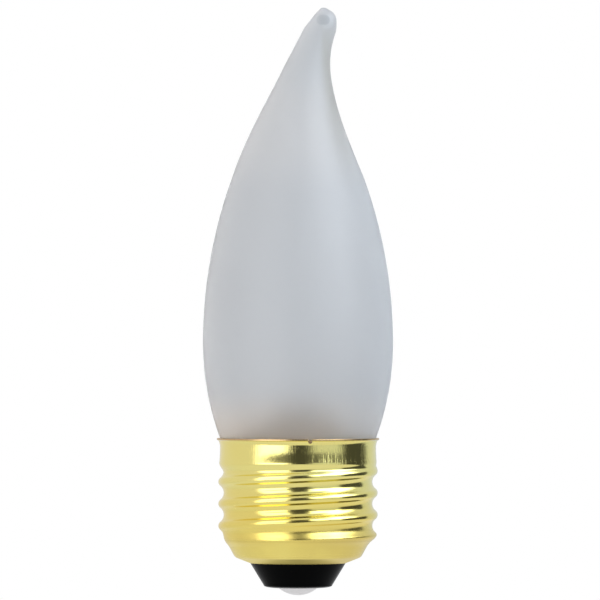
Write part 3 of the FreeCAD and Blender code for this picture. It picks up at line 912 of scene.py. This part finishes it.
def insulator_finish(colours):
    """Black vitrified glass: glossy, with a fine moulded ripple."""
    material, tree = new_finish("black_insulator", {
        "Base Color": (*colours.insulator, 1.0), "Specular IOR Level": 0.03,
    })
    ripple = tree.noise(tree.place(), 700.0, 3.0, 0.6)
    tree.feed("Roughness", ripple * 0.16 + 0.16)
    tree.feed("Normal", tree.bump(ripple, 0.03, 0.4))
    return material


def solder_finish(colours):
    """Cooled tin solder: satin, with soft flow marks."""
    material, tree = new_finish("tin_solder", {"Metallic": 0.85})
    flow = tree.noise(tree.place(), 520.0, 3.0, 0.55)
    tree.feed("Base Color", tree.mix(flow * 0.5, colours.solder, colours.solder_pale))
    tree.feed("Roughness", flow * 0.25 + 0.22)
    tree.feed("Normal", tree.bump(flow, 0.06, 0.5))
    return material


def cement_finish(colours):
    """Baked basing cement: matt and grainy."""
    material, tree = new_finish("basing_cement", {"Roughness": 0.9})
    grain = tree.noise(tree.place(), 1500.0, 4.0, 0.7)
    tree.feed("Base Color", tree.mix(grain * 0.6, colours.cement, colours.cement_dark))
    tree.feed("Normal", tree.bump(grain, 0.08, 0.6))
    return material


def wire_finish(colours):
    """Nickel-plated wire with a faint drawn grain."""
    material, tree = new_finish("lead_wire", {"Metallic": 1.0})
    grain = tree.noise(tree.place(), 1800.0)
    tree.feed("Base Color", tree.mix(grain * 0.4, colours.wire, colours.wire_dark))
    tree.feed("Roughness", grain * 0.2 + 0.25)
    return material


def joint_finish(colours):
    """The small burnt joint of the side lead on the rim: brown, dull and rough."""
    material, tree = new_finish("burnt_joint", {"Metallic": 0.7})
    grain = tree.noise(tree.place(), 3000.0)
    tree.feed("Base Color", tree.mix(grain * 0.5, colours.joint, colours.joint_pale))
    tree.feed("Roughness", grain * 0.2 + 0.4)
    tree.feed("Normal", tree.bump(grain, 0.04, 0.6))
    return material


# Operators


class MakeGlass(bpy.types.Operator):
    """Make the frosted envelope with its bent tip"""

    bl_idname = "candle_bulb.make_glass"
    bl_label = "Glass"

    def execute(self, context):
        sizes = context.scene.bulb_glass
        skins = [(glass_grid(sizes), False), (hollow_grid(sizes), False)]
        finish = frosted_finish(context.scene.bulb_colours, sizes)
        add_piece("frosted_envelope", skins, "glass_bulb", finish)
        return {"FINISHED"}


class MakeShell(bpy.types.Operator):
    """Make the rolled screw shell with its thread, skirt and lip"""

    bl_idname = "candle_bulb.make_shell"
    bl_label = "Screw shell"

    def execute(self, context):
        sizes = context.scene.bulb_shell
        skins = [(shell_grid(sizes), True)]
        finish = brass_finish(context.scene.bulb_colours, sizes)
        add_piece("brass_screw_shell", skins, "screw_shell", finish)
        return {"FINISHED"}


class MakeBase(bpy.types.Operator):
    """Make the black insulator and the solder dome under it"""

    bl_idname = "candle_bulb.make_base"
    bl_label = "Insulator and solder"

    def execute(self, context):
        scene = context.scene
        skins = [(insulator_grid(scene.bulb_base, scene.bulb_shell), True)]
        finish = insulator_finish(scene.bulb_colours)
        add_piece("black_insulator_button", skins, "insulator", finish)
        skins = [(solder_grid(scene.bulb_base), False)]
        finish = solder_finish(scene.bulb_colours)
        add_piece("solder_dome", skins, "contact_solder", finish)
        return {"FINISHED"}


class DressHiddenPieces(bpy.types.Operator):
    """Give the cement, the contact, the leads and the rim joint their finishes"""

    bl_idname = "candle_bulb.dress_hidden"
    bl_label = "Hidden pieces"

    def execute(self, context):
        colours = context.scene.bulb_colours
        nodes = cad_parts
        wire = wire_finish(colours)
        dress(nodes["basing_cement"], cement_finish(colours))
        dress(nodes["centre_contact"], bpy.data.materials["polished_brass"])
        dress(nodes["centre_lead"], wire)
        dress(nodes["side_lead"], wire)
        dress(nodes["rim_joint"], joint_finish(colours))
        return {"FINISHED"}


class MakeStudio(bpy.types.Operator):
    """Make the white floor, the studio's light and the camera"""

    bl_idname = "candle_bulb.make_studio"
    bl_label = "Studio"

    def execute(self, context):
        scene = context.scene
        settings = scene.bulb_studio
        make_floor(settings)
        make_world(scene, settings)
        make_camera(scene, settings)
        scene.view_settings.view_transform = "Standard"
        return {"FINISHED"}


def seen_rays(tree):
    """Return 1 for rays from the camera, for reflected ones and for ones that pass through."""
    rays = tree.add("ShaderNodeLightPath").socket.node.outputs
    names = ("Is Camera Ray", "Is Glossy Ray", "Is Transmission Ray")
    return [Value(tree, rays[name]) for name in names]


def make_floor(settings):
    """Lay a small white floor under the bulb, which keeps its shadow.

    It fades into the white surround towards its edge, so that no edge shows.
    """
    rim = lathe(np.array([[settings.floor_radius, -settings.floor_drop]]), FLOOR_POINTS)[0]
    mesh = bpy.data.meshes.new("studio_floor")
    mesh.from_pydata(rim.tolist(), [], [list(range(FLOOR_POINTS))])
    floor = bpy.data.objects.new("studio_floor", mesh)
    bpy.context.scene.collection.objects.link(floor)
    material = bpy.data.materials.new("studio_floor")
    mesh.materials.append(material)
    tree = Tree(material)
    camera, glossy, through = seen_rays(tree)
    reach = settings.floor_radius / MM
    edge = tree.ramp(tree.away(tree.place(), (0.0, 0.0, 0.0)), reach * 0.3, reach * 0.97)
    fade = edge * (1 - settings.floor_glow) + settings.floor_glow
    seen = camera.math("MAXIMUM", glossy.math("MAXIMUM", through))
    white = camera * (1 - settings.pale) + settings.pale
    matt = tree.add("ShaderNodeBsdfDiffuse", {}, {"Color": (0.9, 0.9, 0.9, 1.0)})
    lit = tree.add("ShaderNodeEmission", {}, {"Strength": white})
    blend = tree.add("ShaderNodeMixShader", {}, {0: seen * fade, 1: matt, 2: lit})
    tree.add("ShaderNodeOutputMaterial", {}, {"Surface": blend})


def make_world(scene, settings):
    """Surround the bulb with pale walls, softboxes and the dark gaps between them.

    The walls are worked out from the direction: its bearing from the front, positive to the
    right, and its elevation, both in degrees. The camera sees plain white all round. The glass
    sees white behind it, a little brighter at both sides, and the brass sees the pale walls. The
    slit is a dark wedge across both softboxes, which opens towards the right.
    """
    world = bpy.data.worlds.new("studio")
    scene.world = world
    tree = Tree(world)
    camera, glossy, through = seen_rays(tree)
    right, back, up = tree.parts(tree.add("ShaderNodeTexCoord", output="Generated"))
    bearing = right.math("ARCTAN2", 0 - back) * DEGREES
    level = up.math("ARCSINE") * DEGREES

    def wall(start, end, side, bottom, top, edge):
        """Return 1 between two bearings and two elevations, each pair with its softness."""
        return tree.window(bearing, start, end, side) * tree.window(level, bottom, top, edge)

    left_box = wall(-63.0, -16.0, 5.5, -36.0, 42.0, 4.0)
    right_box = wall(20.0, 69.0, 7.0, 11.0, 44.0, 2.5)
    strip = wall(58.0, 96.0, 10.0, 18.0, 60.0, 8.0)
    gap = wall(-17.0, 20.0, 7.0, -42.0, 42.0, 4.0)
    far_gap = wall(69.0, 120.0, 2.0, -27.0, 17.0, 4.0) * glossy
    opening = tree.ramp(bearing, -75.0, -15.0) * 3.9
    wedge = 1 - tree.ramp(abs(level - 6.2) - opening, -0.9, 0.9)
    weaker = tree.ramp(bearing, 18.0, 42.0) * 0.2
    slit = tree.window(bearing, -58.0, 69.0, 4.0) * wedge * (settings.slit - weaker)
    dark = gap.math("MAXIMUM", far_gap).math("MAXIMUM", slit)
    boxes = left_box * settings.left_box + right_box * settings.right_box
    pale = (1 - dark) * (1 - left_box.math("MAXIMUM", right_box)) * settings.pale
    glow = pale + dark * settings.dark + boxes * (1 - slit) + strip * settings.strip

    behind = 1 - tree.window(bearing, -100.0, 100.0, 20.0)
    aside = tree.window(abs(bearing), 75.0, 145.0, 14.0)
    left_wing = 1 - tree.ramp(bearing, -60.0, 60.0)
    wings = aside * (left_wing * 0.25 + (settings.wings - settings.back)) + settings.back
    white = camera.math("MAXIMUM", through * behind)
    strength = glow * (1 - white) + white * (through * (wings - 1) + 1)
    tint = tree.mix(tree.ramp(bearing, -70.0, 50.0), settings.warm_light, settings.cool_light)
    light = tree.add("ShaderNodeBackground", {}, {
        "Color": tree.mix(camera, tint, (1.0, 1.0, 1.0)), "Strength": strength,
    })
    tree.add("ShaderNodeOutputWorld", {}, {"Surface": light})


def make_camera(scene, settings):
    """Stand a long lens level with the middle of the bulb, straight in front of it."""
    data = bpy.data.cameras.new("camera")
    data.lens = data.sensor_width * settings.camera_distance / settings.view_width
    data.clip_end = CLIP_END
    data.dof.use_dof = False
    camera = bpy.data.objects.new("camera", data)
    camera.location = (settings.view_side, -settings.camera_distance, settings.view_height)
    camera.rotation_euler = Vector((0, 1, 0)).to_track_quat("-Z", "Y").to_euler()
    scene.collection.objects.link(camera)
    scene.camera = camera


class BulbPanel(bpy.types.Panel):
    """Lists the operators of the candle bulb"""

    bl_idname = "VIEW3D_PT_candle_bulb"
    bl_label = "Candle Bulb"
    bl_space_type = "VIEW_3D"
    bl_region_type = "UI"
    bl_category = "Candle Bulb"

    def draw(self, context):
        for operator in OPERATORS:
            self.layout.operator(operator.bl_idname)


OPERATORS = (MakeGlass, MakeShell, MakeBase, DressHiddenPieces, MakeStudio)
GROUPS = {
    "bulb_glass": GlassSizes,
    "bulb_shell": ShellSizes,
    "bulb_base": BaseSizes,
    "bulb_studio": StudioSettings,
    "bulb_colours": FinishColours,
}


def register():
    """Register the property groups, the operators and the panel."""
    for name, group in GROUPS.items():
        bpy.utils.register_class(group)
        setattr(bpy.types.Scene, name, PointerProperty(type=group))
    for item in (*OPERATORS, BulbPanel):
        bpy.utils.register_class(item)


def unregister():
    """Take everything out again."""
    for item in reversed((*OPERATORS, BulbPanel)):
        bpy.utils.unregister_class(item)
    for name, group in reversed(GROUPS.items()):
        delattr(bpy.types.Scene, name)
        bpy.utils.unregister_class(group)


def main():
    """Make every piece in order."""
    register()
    bpy.ops.candle_bulb.make_glass()
    bpy.ops.candle_bulb.make_shell()
    bpy.ops.candle_bulb.make_base()
    bpy.ops.candle_bulb.dress_hidden()
    bpy.ops.candle_bulb.make_studio()


if __name__ == "__main__":
    main()
